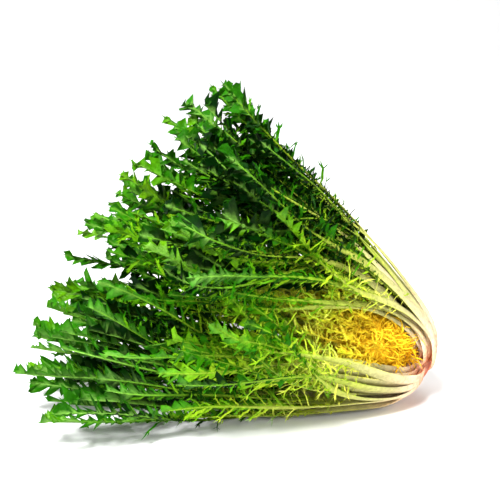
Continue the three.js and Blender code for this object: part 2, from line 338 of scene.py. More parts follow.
def frame_shift():
    """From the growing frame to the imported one: the stump's solid against the stump's own profile."""
    radius, height = np.array(STUMP_PROFILE).T
    above = round_axis(radius, height, 0.0)
    below = round_axis(radius, height, 180.0)
    ends = np.vstack([above, below])
    low, high = (np.array(corner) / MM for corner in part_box("stump"))
    return np.array([high[0] - ends[:, 0].max(), (low[1] + high[1]) / 2, low[2] - ends[:, 2].min()])


SHIFT = frame_shift()


def outer_opening(azimuth):
    """The outermost shell's opening, eased by the squared cosine between side and top or bottom."""
    c = cosd(azimuth)
    upright = np.where(c > 0, OUTER_OPENING["up"], OUTER_OPENING["down"])
    return lerp(OUTER_OPENING["side"], upright, c * c)


def shell(layer, azimuth, s):
    """A shell's radius, height and lean: a straight cone plus a bulge that fades in near the root.
    Layer 0 is the innermost shell and layer 1 the outermost."""
    below = (1 - cosd(azimuth)) / 2
    opening = np.radians(lerp(INNER["opening"], outer_opening(azimuth), layer))
    bulge = lerp(INNER["bulge"], OUTER["bulge"] + SAG * below, layer)
    drop = lerp(INNER["drop"], OUTER["drop"], layer)
    fade = np.exp(-s / BULGE_LENGTH)
    radius = lerp(INNER["radius"], OUTER["radius"], layer) + s * np.sin(opening) + bulge * (1 - fade)
    height = lerp(INNER["height"], OUTER["height"], layer) + s * np.cos(opening) - drop * (1 - fade)
    outwards = np.sin(opening) + bulge / BULGE_LENGTH * fade
    forwards = np.cos(opening) - drop / BULGE_LENGTH * fade
    return radius, height, np.arctan2(outwards, forwards)


def wave_room(s):
    """How far a leaf may wave off its shell, which grows along it."""
    room = WAVE_ROOM["per_mm"] * s - WAVE_ROOM["less"]
    return np.clip(room, WAVE_ROOM["least"], WAVE_ROOM["most"])


class ShellLeaf:
    """The course of one long leaf: its shell, its azimuth along the way and its length."""

    def __init__(self, i, length_share=1.0, turn=None):
        self.index = i
        self.layer = (i + 0.5) / LEAF_COUNT
        spiral = (i * GOLDEN_ANGLE + TURN_CHANGE * chance(i, 1) + 360) % 360
        self.turn = spiral if turn is None else turn
        end = cosd(self.azimuth(REACH))
        opening = lerp(INNER["opening"], outer_opening(self.azimuth(REACH)), self.layer)
        rise = AXIS_RISE + opening * end
        underneath = self.layer * np.maximum(0, -end) ** 3
        reach = REACH - REACH_LOSS * abs(rise - LEVEL) - SHORTER_BELOW * underneath
        shorter = SHORTER_INSIDE * (1 - self.layer) + LENGTH_CHANGE * (0.5 + 0.5 * chance(i, 3))
        self.length = float(reach * (1 - shorter) * length_share)

    def end_share(self):
        """How much of the parting is left open at the leaf's end."""
        return eased(self.layer, *END_SHARE)

    def azimuth(self, s):
        """The leaf's own turn, squeezed into what the parting leaves free, plus a slow swing."""
        closed = 1 - PARTING["closed_at_root"] * self.layer
        clear = eased(s, closed, 1, 0, PARTING["clear_by"])
        narrowed = eased(s, 1, self.end_share(), *PARTING["narrows"])
        parted = PARTING["half"] * clear * narrowed
        grown = smoothstep(s, 0, SWAY["grows_by"])
        swing = chance(self.index, 2) * grown * np.sin(s / SWAY["wave"] + self.index)
        away = self.turn + parted * (1 - self.turn / 180)
        return PARTING["middle"] + away + SWAY["degrees"] * swing

    def radius(self, s):
        return shell(self.layer, self.azimuth(s), s)[0]

    def rib_half(self, s):
        """Half the rib's width, which tapers to its end and leaves room for the ribs beside it."""
        share = np.clip(s / self.length, 0, 1) ** RIB["taper"]
        base = lerp(RIB["inner"], RIB["outer"], self.layer)
        return np.minimum(lerp(base, RIB["end"], share), RIB["share"] * self.radius(s))

    def keel(self, s):
        """How far the rib's outer face stands out."""
        return lerp(RIB["keel"], RIB["end_keel"], np.clip(s / self.length, 0, 1) ** RIB["keel_taper"])

    def grown(self, s):
        """The way along the leaf that its colours go by."""
        return s

    def under(self, s):
        """From 0 at the sides to 1 underneath, where nothing may stand out towards the floor."""
        return smoothstep(-cosd(self.azimuth(s)), *UPRIGHT)

    def shade(self):
        """How much painted shade darkens the leaf for its place: most on the near side above the
        parting, and less so below it and underneath."""
        place = self.azimuth(PAINTED_SHADE["at"])
        total = 0.0
        for middle, amount in (PAINTED_SHADE["above"], PAINTED_SHADE["below"]):
            away = (place - middle + 180) % 360 - 180
            total = total + amount * bell(away / PAINTED_SHADE["width"])
        return float(total)

    def facing_near(self):
        """1 for a leaf on the near side, 0 for one behind, at the middle of its length."""
        return float(smoothstep(sind(self.azimuth(150.0)), 0.1, 0.8))

    def facing_up(self):
        """1 for an outer leaf on top of the head, 0 for one within or underneath it."""
        return float(smoothstep(cosd(self.azimuth(100.0)), 0.1, 0.7)) * self.layer

    def lift(self, s):
        """How far the rib stands off its shell: a slow wave, and a bend near the end, which goes
        only inwards above and underneath."""
        phase = s / LIFT_WAVE["wave"] + LIFT_WAVE["phase"] * self.index
        wave = LIFT_WAVE["share"] * wave_room(s) * np.sin(phase)
        bend = END_BEND["mm"] * chance(self.index, 5)
        bend = eased(abs(cosd(self.azimuth(s))), bend, -abs(bend), *UPRIGHT)
        return wave + bend * smoothstep(s / self.length, *END_BEND["from"])

    def roll(self, s):
        """The angle by which the leaf has rolled about its own rib: to and fro from its middle
        onwards, and on the lower edge of the parting also near its root, so that it faces out."""
        swing = ROLL["swing"] * chance(self.index, 8) * np.sin(s / ROLL["wave"] + self.index)
        turned = chance(self.index, 6) + swing
        edge = PARTING["middle"] + PARTING["half"]
        past = (self.azimuth(EDGE_ROLL["at"]) - edge) / EDGE_ROLL["width"]
        facing = EDGE_ROLL["degrees"] * bell(past) * smoothstep(s, *EDGE_ROLL["from"])
        late = smoothstep(s / self.length, *ROLL["from"])
        free = eased(self.layer, *ROLL_FREE)
        return np.radians(ROLL["degrees"] * free * turned * late + facing * (1 - late))

    def place(self, s, v, out):
        """The point s along the rib, v across it and out outwards, on the leaf's shell."""
        along = np.clip(s, 0, None)
        v, out = rolled(v, out, self.roll(along))
        late = smoothstep(along / self.length, *END_SWAY["from"])
        aside = END_SWAY["mm"] * chance(self.index, 7) * late
        azimuth = self.azimuth(along) + np.degrees((v + aside) / self.radius(along))
        drawn = EDGE_LIFT["degrees"] * bell((360 - self.turn) / EDGE_LIFT["width"])
        azimuth = azimuth - drawn * (1 - smoothstep(along, *EDGE_LIFT["fades"]))
        radius, height, lean = shell(self.layer, azimuth, along)
        lift = out + self.lift(along)
        return round_axis(radius + lift * np.cos(lean), height - lift * np.sin(lean), azimuth)


# ------------------------------------------------------------------ meshes
class Skin:
    """Collects closed tubes, with the growth at each point, into one mesh."""

    def __init__(self):
        self.points, self.growth, self.faces = [], [], []
        self.count = 0

    def tubes(self, rings, ends, growth, end_growth):
        """Closed tubes: rings (T, n, m, 3) carried along each path, capped at the root, and drawn
        together at the end in one point (T, 3). Growth has five numbers for each point."""
        t, n, m = rings.shape[:3]
        ring = self.count + np.arange(t * n * m).reshape(t, n, m)
        ahead = np.roll(ring, -1, axis=2)
        walls = np.stack([ring[:, :-1], ahead[:, :-1], ahead[:, 1:], ring[:, 1:]], -1)
        tip = self.count + t * n * m + np.arange(t)[:, None] + np.zeros(m, int)
        tips = np.stack([ring[:, -1], ahead[:, -1], tip], -1)
        caps = ring[:, 0, ::-1]
        self.faces += [faces.reshape(-1, faces.shape[-1]) for faces in (walls, tips, caps)]
        self.points += [rings.reshape(-1, 3), ends]
        self.growth += [growth.reshape(-1, 5), end_growth]
        self.count += t * (n * m + 1)

    def mesh(self, name):
        """The mesh in metres, held off the floor, smooth but for its sharp edges, with the growth in
        two attributes: its first four numbers in "growth" and the fifth in "below"."""
        points = (np.concatenate(self.points) + SHIFT) * MM
        points[:, 2] = np.maximum(points[:, 2], FLOOR_GAP)
        mesh = bpy.data.meshes.new(name)
        mesh.vertices.add(len(points))
        mesh.vertices.foreach_set("co", points.ravel())
        sizes = np.concatenate([np.full(len(f), f.shape[1]) for f in self.faces])
        corners = np.concatenate([f.ravel() for f in self.faces])
        starts = np.concatenate([[0], np.cumsum(sizes)[:-1]])
        mesh.loops.add(len(corners))
        mesh.loops.foreach_set("vertex_index", corners)
        mesh.polygons.add(len(sizes))
        mesh.polygons.foreach_set("loop_start", starts)
        mesh.polygons.foreach_set("use_smooth", np.ones(len(sizes), bool))
        growth = np.concatenate(self.growth)
        leafy = mesh.attributes.new("growth", "FLOAT_COLOR", "POINT")
        leafy.data.foreach_set("color", growth[:, :4].ravel())
        below = mesh.attributes.new("below", "FLOAT", "POINT")
        below.data.foreach_set("value", growth[:, 4].copy())
        mesh.update(calc_edges=True)
        mesh.set_sharp_from_angle(angle=math.radians(SHARP_ANGLE))
        return mesh


def show(name, skin, finish, nodes):
    """Puts a skin into the scene as one piece that stands for the given nodes."""
    mesh = skin.mesh(name)
    mesh.materials.append(finish)
    piece = bpy.data.objects.new(name, mesh)
    bpy.context.scene.collection.objects.link(piece)
    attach(piece, "root")
    if nodes:
        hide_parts(*nodes)


# ------------------------------------------------------------------ rib, blade, leaflets and teeth
def growth_of(along, blade, youth, tone, below=0.0):
    """The five numbers that the finish reads: way along the leaf, share of blade, youth, tone (less
    is darker; for leaves it also carries painted shade for their place), and 1 on a blade's underside."""
    parts = np.broadcast_arrays(along / GROWTH_UNIT, blade, youth, tone, below)
    return np.stack(parts, -1)


def rib(skin, course, stations, youth, tone):
    """A leaf's rib: an eight-point section, keeled on the outer face and hollowed on the inner one,
    carried along the course and drawn to a point at the end. It is a little wider than the solid's
    from near its root on, and slims towards its end."""
    t = np.linspace(0, 1, stations) ** RIB_CLOSER
    s = t * course.length * RIB_END["ring"]
    slim = eased(t, *RIB_SLIMS)
    half, keel = eased(s, *RIB_WIDENS) * slim * course.rib_half(s), slim * course.keel(s)
    v = half[:, None] * RIB_ACROSS
    out = keel[:, None] * RIB_KEELED + RIB_OUT
    rings = course.place(s[:, None] + 0 * v, v, out)[None]
    green = RIB_GREEN * eased(s, *RIB_GREENS)[:, None]
    growth = growth_of(course.grown(s)[:, None] + 0 * v, green, youth, tone)
    last = np.array([RIB_END["point"] * course.length])
    end = course.place(last, np.zeros(1), np.zeros(1))
    skin.tubes(rings, end, growth[None], growth_of(course.grown(last), 0.0, youth, tone))


def lobes(way, mean, seed):
    """Lobes of uneven length. For each way along: the lobe's number, and its own way from 0 at its
    start to 1 at its end."""
    many = int((way[-1] - way[0]) / mean * 2) + 4
    sizes = mean * (1 + 0.5 * chance(np.arange(many) + seed, 120))
    ends = way[0] + np.cumsum(sizes)
    number = np.searchsorted(ends, way, side="right")
    return number, 1 - (ends[number] - way) / sizes[number]


def lobe_outline(t, x, notch):
    """How far a lobe stands out at x of its own way, from 0 in the notch to 1, as an arch that is a
    skewed sine. Along the blade (t) the arch gets a narrower foot, is raised to a falling power, and
    closes up at the very end. Also the arch by itself."""
    arch = np.sin(np.pi * np.clip(x, 0, 1) ** 1.25)
    narrow = np.clip(1.55 * arch - 0.45, 0, 1)
    arch = eased(t, arch, narrow, 0.3, 0.7) ** eased(t, *LOBE_POWER)
    arch = eased(t, arch, 1.0, 0.93, 0.97)
    return lerp(notch, 1.0, arch), arch


def sheet(skin, course, plan, youth, tone):
    """The blade along both sides of the rib: a closed thin sheet with eight points round.

    From each station a line runs out and forwards to both sides, as far as a row of lobes lets it.
    The lobes grow longer along the rib by a geometric row, and go from narrow fingers to broader
    ones. Their lines draw together to their ends, and end in uneven teeth. The sheet is folded up or
    down by an angle that changes slowly and from lobe to lobe, and ruffles more the further out it
    gets. A vein runs up the middle of each lobe."""
    i, length = course.index, course.length
    lobe, half, notch = plan["lobe"], plan["half"], plan["notch"]
    n = plan["stations"][1]
    even = np.linspace(0, 1, n)
    t = (LOBES_GROW**even - 1) / (LOBES_GROW - 1)
    s = lerp(plan["bare"], BLADE_END, t) * length
    way = even * length * math.log(LOBES_GROW) / (LOBES_GROW - 1)

    rim = np.sqrt(np.clip((1.0 - t) / BLADE_ROUNDS, 0, 1))
    broad = eased(t, *plan["breadth"], *plan["rises"])
    broad = eased(t, broad, 1.0, *BREADTH_FULL)
    envelope = half * broad * rim * smoothstep(t, -0.02, 0.05)
    notch = eased(t, notch, NOTCH["end"], *NOTCH["end_from"])
    notch = eased(t, NOTCH["start"], notch, *NOTCH["start_to"])
    jagged = eased(t, *TEETH)
    under = course.under(s)

    sides = []
    for side in (-1, 1):
        number, x = lobes(way, lobe, 9 * i + 57 * side)
        key = number + 13 * i
        outline, arch = lobe_outline(t, x, notch)
        big = 0.8 + 0.4 * chance(key, 121 + side)
        tooth = 1 + jagged * chance(np.arange(n) + 31 * i, 124 + side) * (0.3 + 0.7 * arch)
        wide = envelope * big * outline * tooth
        lean = plan["slant"] + LOBE_FAN * (x - 0.5) + LOBE_LEAN_CHANGE * chance(key, 127 + side)
        angle = np.radians(lean)
        fold = 0.2 + 0.5 * np.sin(s / 29 + 1.9 * i) + 0.6 * chance(key, 129 + side)
        wave = np.sin(TAU * way / (0.8 * lobe) + 2.2 * side + i) + 0.5 * np.sin(s / 2.1 + i)
        vein = np.clip(1.6 * arch - 0.9, 0, 1) ** 2
        # Each lobe's tone: the leaf's, which carries its painted shade, changed at random from lobe to
        # lobe.
        shade = tone + 0.16 * chance(key, 133 + side)
        for f, shows in ((1.0, 0.0), (0.5, VEIN_SHOWS)):
            ruffle = f**1.6 * plan["ruffle"] * np.minimum(1, wide / 6) * wave
            out = f * wide * np.sin(fold) + ruffle
            out = lerp(out, -abs(out), under)
            across = side * (0.4 * course.rib_half(s) + f * wide * np.sin(angle) * np.cos(fold))
            sides.append((s + f * wide * np.cos(angle), across, out, 1.0 - shows * vein, shade))
    middle = (s, 0 * s, 0 * s, MIDDLE_GREEN + 0 * s, tone + 0 * s)

    left, left_half, right, right_half = sides
    order = [left, left_half, middle, right_half, right, right_half, middle, left_half]
    thick = BLADE_HALF_THICKNESS * np.array([0, 1, 1, 1, 0, -1, -1, -1])
    along, v, out, blade, shade = (np.stack([row[k] for row in order], -1) for k in range(5))
    rings = course.place(along, v, out - thick)[None]
    below = np.where(thick < 0, 1.0, 0.0)
    growth = growth_of(course.grown(along), blade, youth, shade, below)[None]
    last = s[-1:] + 0.3 * half
    end = course.place(last, np.zeros(1), np.zeros(1))
    skin.tubes(rings, end, growth, growth_of(course.grown(last), 1.0, youth, tone))


def blades(skin, course, root, heading, size, shape, youth, tone, stations=7):
    """Flat tapering blades, each a four-point section carried along its own curve.

    root is (s, v, out) of each blade's foot, heading its (side, turn, lift), size its (length,
    half width), and shape its (bend, curl, twist, fold, teeth). Along a blade the turn grows by
    bend and the lift by curl, the section rolls by twist, its edges fold up by fold, and its width
    is a leaf's outline with teeth that swing from station to station. Returns the curve."""
    side, turn, lift = heading
    length, half = size
    bend, curl, twist, fold, teeth = shape
    t = np.linspace(0, 1, stations)
    mid = (t[1:] + t[:-1]) / 2

    def column(x):
        return np.asarray(x, float)[:, None]

    def angles(at):
        a = column(turn) + column(bend) * at
        b = column(lift) + column(curl) * at
        return np.radians(a), np.radians(b)

    def direction(a, b):
        return np.stack([np.cos(b) * np.cos(a), column(side) * np.cos(b) * np.sin(a), np.sin(b)], -1)

    moves = (column(length) * np.diff(t))[..., None] * direction(*angles(mid))
    start = np.stack(root, -1)[:, None, :]
    curve = np.concatenate([start, start + np.cumsum(moves, 1)], 1)

    a, b = angles(t)
    tangent = direction(a, b)
    across = np.stack([-column(side) * np.sin(a), np.cos(a), 0 * a], -1)
    normal = np.cross(tangent, across)
    across, normal = rolled(across, normal, -np.radians(column(twist) * t)[..., None])

    way = OUTLINE["from"] + OUTLINE["grows"] * t
    outline = np.sin(np.pi * np.clip(way, 0, 1)) ** OUTLINE["power"]
    swing = np.where(np.arange(stations) % 2 == 0, 1.0, -1.0)
    body = column(half) * outline
    forward = column(teeth) * body * 0.8
    thick = 0.16 + 0.05 * column(half)

    def edge(sign):
        wide = body * (1 - sign * column(teeth) * swing)
        ahead = tangent * (forward * (sign * swing < 0))[..., None]
        folded = normal * (column(fold) * wide)[..., None]
        return curve + ahead + sign * across * wide[..., None] + folded

    upper = curve + normal * (thick * outline)[..., None]
    lower = curve - normal * (thick * outline)[..., None]
    rings = np.stack([edge(-1), lower, edge(1), upper], 2)[:, :-1]
    ends = curve[:, -1]
    placed = course.place(rings[..., 0], rings[..., 1], rings[..., 2])
    placed_ends = course.place(ends[:, 0], ends[:, 1], ends[:, 2])
    green = np.clip(0.45 + 1.6 * t[:-1], 0, 1)[None, :, None] * np.array([1, 0.8, 1, 0.8])
    growth = growth_of(course.grown(rings[..., 0]), green, youth, column(tone)[..., None])
    end_growth = growth_of(course.grown(ends[:, 0, None])[:, 0], 1.0, youth, tone)
    skin.tubes(placed, placed_ends, growth, end_growth)
    return curve, np.degrees(a), np.degrees(b)


def fork(skin, course, curve, heading, size, seed, youth, tone):
    """A tooth to either side of each leaflet, from one station of its curve. heading is the
    leaflets' (side, turn, lift) and size their (length, half width)."""
    at, many = FORK["at"], curve.shape[0]
    side, turn, lift = heading
    length, half = size
    which = np.tile(np.arange(many), 2)
    q = np.repeat([-1.0, 1.0], many)
    key = seed + which * 7 + at * 3 + q
    foot = curve[which, at]
    turned = q * (FORK["turn"] + 12 * chance(key, 42))
    long = FORK["length"] * length[which] * (0.8 + 0.35 * chance(key, 41)) * (1.15 - 0.09 * at)
    narrow = FORK["half"] * half[which] * (0.9 + 0.2 * chance(key, 43))
    bend = -q * 22 + 12 * chance(key, 44)
    shape = (bend, 40 * chance(key, 45), 30 * chance(key, 46), 0.15 + 0 * key, 0 * key)
    heading = (side[which], turn[which, at] + turned, lift[which, at])
    shade = tone[which] + 0.1 * chance(key, 47)
    blades(skin, course, tuple(foot.T), heading, (long, narrow), shape, youth, shade, stations=3)


def leaflets(skin, course, plan, youth, tone):
    """Toothed, forked leaflets at uneven distances along a rib, to its two sides in turn. They are
    longest at its middle by a power of a sine, and broader and more forward the further out."""
    i = course.index
    first, last, n = plan["leaflets"]
    k = np.arange(2 * n)
    key = k + i * 67
    side = np.where(k % 2 == 0, -1.0, 1.0)
    share = lerp(first, last, (k + 0.5 + 0.4 * chance(k + i * 61, 51)) / (2 * n))
    s = share * course.length
    middle = np.sin(np.pi * np.clip(share, 0, 1)) ** 0.7
    long = plan["leaflet"] * (0.7 + 0.4 * chance(key, 52)) * lerp(0.6, 1.35, middle)
    long = long * eased(share, 0.3, 1, first, first + 0.18)
    narrow = plan["leaflet_half"] * lerp(0.6, 1.7, share**2) * (1 + 0.3 * chance(key, 53))
    turn = lerp(62, 38, share) + 16 * chance(key, 54)
    lift = plan["lift"] * chance(key, 55) + plan["outwards"]
    lift = lerp(lift, -abs(lift), course.under(s))
    bend = -14 + 34 * chance(key, 56)
    curl = plan["curl"] * chance(key, 57)
    shape = (bend, curl, 90 * chance(key, 58), 0.2 + 0 * s, 0.35 + 0.2 * chance(key, 59))
    # The leaflets take part of the leaf's tone, and so part of its painted shade.
    shade = np.minimum(0.65 * tone + 0.4 + 0.28 * chance(key, 60), 0.82)
    root = (s, side * course.rib_half(s) * 0.7, 0 * s)
    size = (long, narrow)
    curve, a, b = blades(
        skin, course, root, (side, turn, lift), size, shape, youth, shade, stations=6
    )
    fork(skin, course, curve, (side, a, b), size, i * 71, youth, shade)


def leaf(skin, course, plan, youth, tone, rib_tone=None):
    """One leaf: its rib, its lobed blade, and the leaflets that frill out of it if it has any."""
    rib(skin, course, plan["stations"][0], youth, tone if rib_tone is None else rib_tone)
    sheet(skin, course, plan, youth, tone)
    if "leaflets" in plan:
        leaflets(skin, course, plan, youth, tone)


# ------------------------------------------------------------------ finishes
def linear(code):
    """A colour code, such as "f2c81e", as scene-linear red, green and blue."""
    parts = np.array([int(code[k : k + 2], 16) for k in (0, 2, 4)]) / 255
    low = parts / 12.92
    high = ((parts + 0.055) / 1.055) ** 2.4
    return tuple(float(x) for x in np.where(parts <= 0.04045, low, high))


def arithmetic(operation, reflected=False):
    """An operator of Wire: it adds a Math node for the wire and the other value."""

    def operate(wire, other):
        values = (other, wire) if reflected else (wire, other)
        return wire.finish.node("ShaderNodeMath", {"operation": operation}, dict(enumerate(values)))

    return operate


class Wire:
    """A socket with arithmetic: an expression on values adds its Math nodes."""

    def __init__(self, finish, socket):
        self.finish, self.socket = finish, socket

    __add__, __radd__ = arithmetic("ADD"), arithmetic("ADD", reflected=True)
    __sub__, __rsub__ = arithmetic("SUBTRACT"), arithmetic("SUBTRACT", reflected=True)
    __mul__, __rmul__ = arithmetic("MULTIPLY"), arithmetic("MULTIPLY", reflected=True)


class Finish:
    """One material, new or emptied, and the means to build its nodes."""

    def __init__(self, name):
        self.material = bpy.data.materials.get(name) or bpy.data.materials.new(name)
        self.material.use_nodes = True
        self.tree = self.material.node_tree
        self.tree.nodes.clear()

    def node(self, kind, settings, inputs, output=0):
        """A node of a kind. Its settings are set first: plain ones by name, and a ramp's stops
        under "stops". inputs gives each socket, by name or number, its value or its wire. Returns
        the wire of the output, or of each when output is a tuple."""
        node = self.tree.nodes.new(kind)
        for key, value in settings.items():
            if key == "stops":
                self._stops(node.color_ramp, value)
            else:
                setattr(node, key, value)
        for key, value in inputs.items():
            if isinstance(value, Wire):
                self.tree.links.new(value.socket, node.inputs[key])
            else:
                node.inputs[key].default_value = value
        if isinstance(output, tuple):
            return tuple(Wire(self, node.outputs[number]) for number in output)
        return Wire(self, node.outputs[output]) if node.outputs else node

    @staticmethod
    def _stops(ramp, stops):
        while len(ramp.elements) < len(stops):
            ramp.elements.new(1.0)
        for element, (position, colour) in zip(ramp.elements, stops):
            element.position = position
            element.color = (*colour, 1.0)

    def ramp(self, value, colours, places):
        """A ramp over a value, with a place for each of the colours that it names."""
        stops = [(place, colours[name]) for name, place in places.items()]
        return self.node("ShaderNodeValToRGB", {"stops": stops}, {0: value})

    def mix(self, share, a, b, blend="MIX"):
        """A colour between a and b. Colour sockets stand at 6 and 7, and the result at 2."""
        settings = {"data_type": "RGBA", "blend_type": blend}
        a, b = (x if isinstance(x, Wire) else (*x, 1.0) for x in (a, b))
        return self.node("ShaderNodeMix", settings, {0: share, 6: a, 7: b}, output=2)

    def span(self, value, low, high, to_low=0.0, to_high=1.0):
        """The value, taken from low to high onto to_low to to_high, and held there beyond them."""
        sockets = {0: value, 1: low, 2: high, 3: to_low, 4: to_high}
        return self.node("ShaderNodeMapRange", {"clamp": True}, sockets)

    def noise(self, where, scale, detail=2.0, roughness=0.5):
        sockets = {"Vector": where, "Scale": scale, "Detail": detail, "Roughness": roughness}
        return self.node("ShaderNodeTexNoise", {}, sockets)

    def where(self):
        """Object coordinates."""
        return self.node("ShaderNodeTexCoord", {}, {}, output=3)

    def growth(self):
        """The mesh's own way along, share of blade, youth and tone."""
        colour, tone = self.node("ShaderNodeAttribute", {"attribute_name": "growth"}, {}, (0, 3))
        parts = self.node("ShaderNodeSeparateColor", {}, {0: colour}, (0, 1, 2))
        return (*parts, tone)

    def mottled(self, share, colour, amount):
        """The colour, times an amount that varies over the surface."""
        grey = self.node("ShaderNodeCombineColor", {}, {0: amount, 1: amount, 2: amount})
        return self.mix(share, colour, grey, blend="MULTIPLY")

    def surface(self, colour, rough, height, strength, depth, shine=0.5):
        """An opaque surface with a bump of the given depth in metres."""
        sockets = {"Strength": strength, "Distance": depth, "Height": height}
        bump = self.node("ShaderNodeBump", {}, sockets)
        sockets = {
            "Base Color": colour,
            "Roughness": rough,
            "Normal": bump,
            "Specular IOR Level": shine,
        }
        return self.node("ShaderNodeBsdfPrincipled", {}, sockets)

    def made(self, shader):
        """The material, once its shader is joined to its output."""
        self.node("ShaderNodeOutputMaterial", {}, {0: shader})
        return self.material


def leaf_finish(name, colours):
    """Living leaf: rust at the cut, peach and cream low on the rib, green along it, and a blade
    that goes from yellow through light green to green, and on to deep green with painted shade, mottled
    and finely veined."""
    f = Finish(name)
    where = f.where()
    along, blade, youth, tone = f.growth()
    under = f.node("ShaderNodeAttribute", {"attribute_name": "below"}, {}, output=2)

    broad = f.noise(where, 22.0, 3.0, 0.55)
    fine = f.noise(where, 300.0, 4.0, 0.65)
    spot = f.noise(where, 900.0, 1.0)
    # darker is the tone's pull towards darker colours: a random tone, and for the long leaves, the
    # leaves between and the leaves within, painted shade for their place.
    darker = 0.5 - tone

    rib_places = {
        "cut": 0.0,
        "blush": 0.022,
        "blush_pale": 0.075,
        "rib": 0.16,
        "rib_lime": 0.32,
        "rib_green": 0.54,
        "vein": 0.72,
        "vein_end": 1.0,
    }
    # The rib takes the tone as well; for the leaves within that carries their painted shade.
    rib_way = along + youth * 0.05 + (fine - 0.5) * 0.02
    rib_colour = f.ramp(rib_way + darker * f.span(along, 0.05, 0.3) * 0.26, colours, rib_places)

    blade_places = {"pale": 0.06, "lime": 0.2, "light": 0.38, "green": 0.6, "deep": 0.9}
    # The blade's way along its ramp: greener along the leaf, a little lighter at its far ends, and
    # darker by the tone, whose painted shade is strongest at mid-length and fades towards the ends.
    blade_way = f.span(along, 0.0, 0.62, 0.0, 0.62) - f.span(along, 0.78, 0.98, 0.0, 0.1)
    blade_way = blade_way + (broad - 0.5) * 0.2 + darker * f.span(along, 0.6, 0.9, 0.85, 0.3)
    blade_colour = f.ramp(blade_way, colours, blade_places)

    young_places = {"amber": 0.04, "gold": 0.1, "yellow": 0.24, "lime": 0.44, "light": 0.7}
    young_colour = f.ramp(along + (fine - 0.5) * 0.16 + darker * 0.14, colours, young_places)

    green = f.mix(youth * f.span(along, 0.27, 0.46, 1.0, 0.0), blade_colour, young_colour)
    # Pale undersides show near a blade's end, but not on dark-toned blades, so not where painted shade
    # darkens them.
    showing = under * f.span(along, 0.62, 0.95, 0.0, 0.45)
    showing = showing * f.span(tone, -0.2, 0.45) * (1 - youth)
    green = f.mix(showing, green, colours["under"])
    rib_colour = f.mix(f.span(youth, 0.78, 0.92), rib_colour, young_colour)
    colour = f.mix(f.span(blade, 0.15, 0.75), rib_colour, green)
    colour = f.mottled(0.8, colour, f.span(fine, 0.3, 0.7, 0.62, 1.3))

    ridges = f.span(fine, 0.2, 0.8) * 0.7 + f.span(spot, 0.3, 0.7) * 0.3
    rough = f.span(fine, 0.3, 0.7, 0.36, 0.56)
    lit = f.surface(colour, rough, ridges, 0.6, 0.001, shine=0.04)
    through = f.node("ShaderNodeBsdfTranslucent", {}, {"Color": (*colours["glow"], 1.0)})
    share = f.span(blade, 0.0, 1.0, 0.01, 0.1)
    return f.made(f.node("ShaderNodeMixShader", {}, {0: share, 1: lit, 2: through}))


def stump_finish(name, colours):
    """A cut stem: moist cream pith, a ring of veins, and a rim that has rusted from the air."""
    f = Finish(name)
    where = f.where()
    place = f.growth()[0]
    broad = f.noise(where, 90.0, 4.0, 0.6)
    fine = f.noise(where, 520.0, 3.0, 0.6)
    places = {
        "pith": 0.0,
        "pith_edge": 0.18,
        "vein_ring": 0.26,
        "rust": 0.32,
        "rim": 0.38,
        "peach": 0.5,
        "stem": 0.62,
        "stem_top": 0.8,
    }
    colour = f.ramp((place + (broad - 0.5) * 0.35) * 0.32, colours, places)
    colour = f.mottled(0.9, colour, f.span(fine, 0.3, 0.7, 0.8, 1.12))
    rough = f.span(fine, 0.3, 0.7, 0.4, 0.65)
    return f.made(f.surface(colour, rough, fine * 0.6 + broad * 0.4, 0.5, 0.0008))


def floor_finish(name):
    """A pale matt floor."""
    f = Finish(name)
    sockets = {"Base Color": (*FLOOR["colour"], 1.0), "Roughness": 0.75}
    return f.made(f.node("ShaderNodeBsdfPrincipled", {}, sockets))


# ------------------------------------------------------------------ the user's sizes and colours
def length_property(name, description, default):
    return bpy.props.FloatProperty(
        name=name, description=description, default=default, min=0.0, unit="LENGTH"
    )


def count_property(name, description, default):
    return bpy.props.IntProperty(name=name, description=description, default=default, min=1)


def colour_property(name, description, code):
    return bpy.props.FloatVectorProperty(
        name=name,
        description=description,
        default=linear(code),
        size=3,
        min=0.0,
        max=1.0,
        subtype="COLOR",
    )


class EndiveSizes(bpy.types.PropertyGroup):
    """The sizes in metres and the numbers of leaves that a user would change"""

    blade: length_property("Blade", "Half the width of a long leaf at its widest lobes", 0.0125)
    lobe: length_property("Lobe", "Length of one lobe low on the rib", 0.0046)
    leaflet: length_property("Leaflet", "Length of the leaflets that frill out of a leaf", 0.0165)
    curl: length_property("Curl", "Length of a curl in the heart", 0.017)
    curls: count_property("Curls", "Curls in the heart", 2300)
    between: count_property("Leaves between", "Smaller leaves between the long ones", 72)
    # The leaves within are coloured dark as painted shade inside the head, and they also block light
    # there.
    within: count_property("Leaves within", "Broad dark leaves that fill the head", 40)


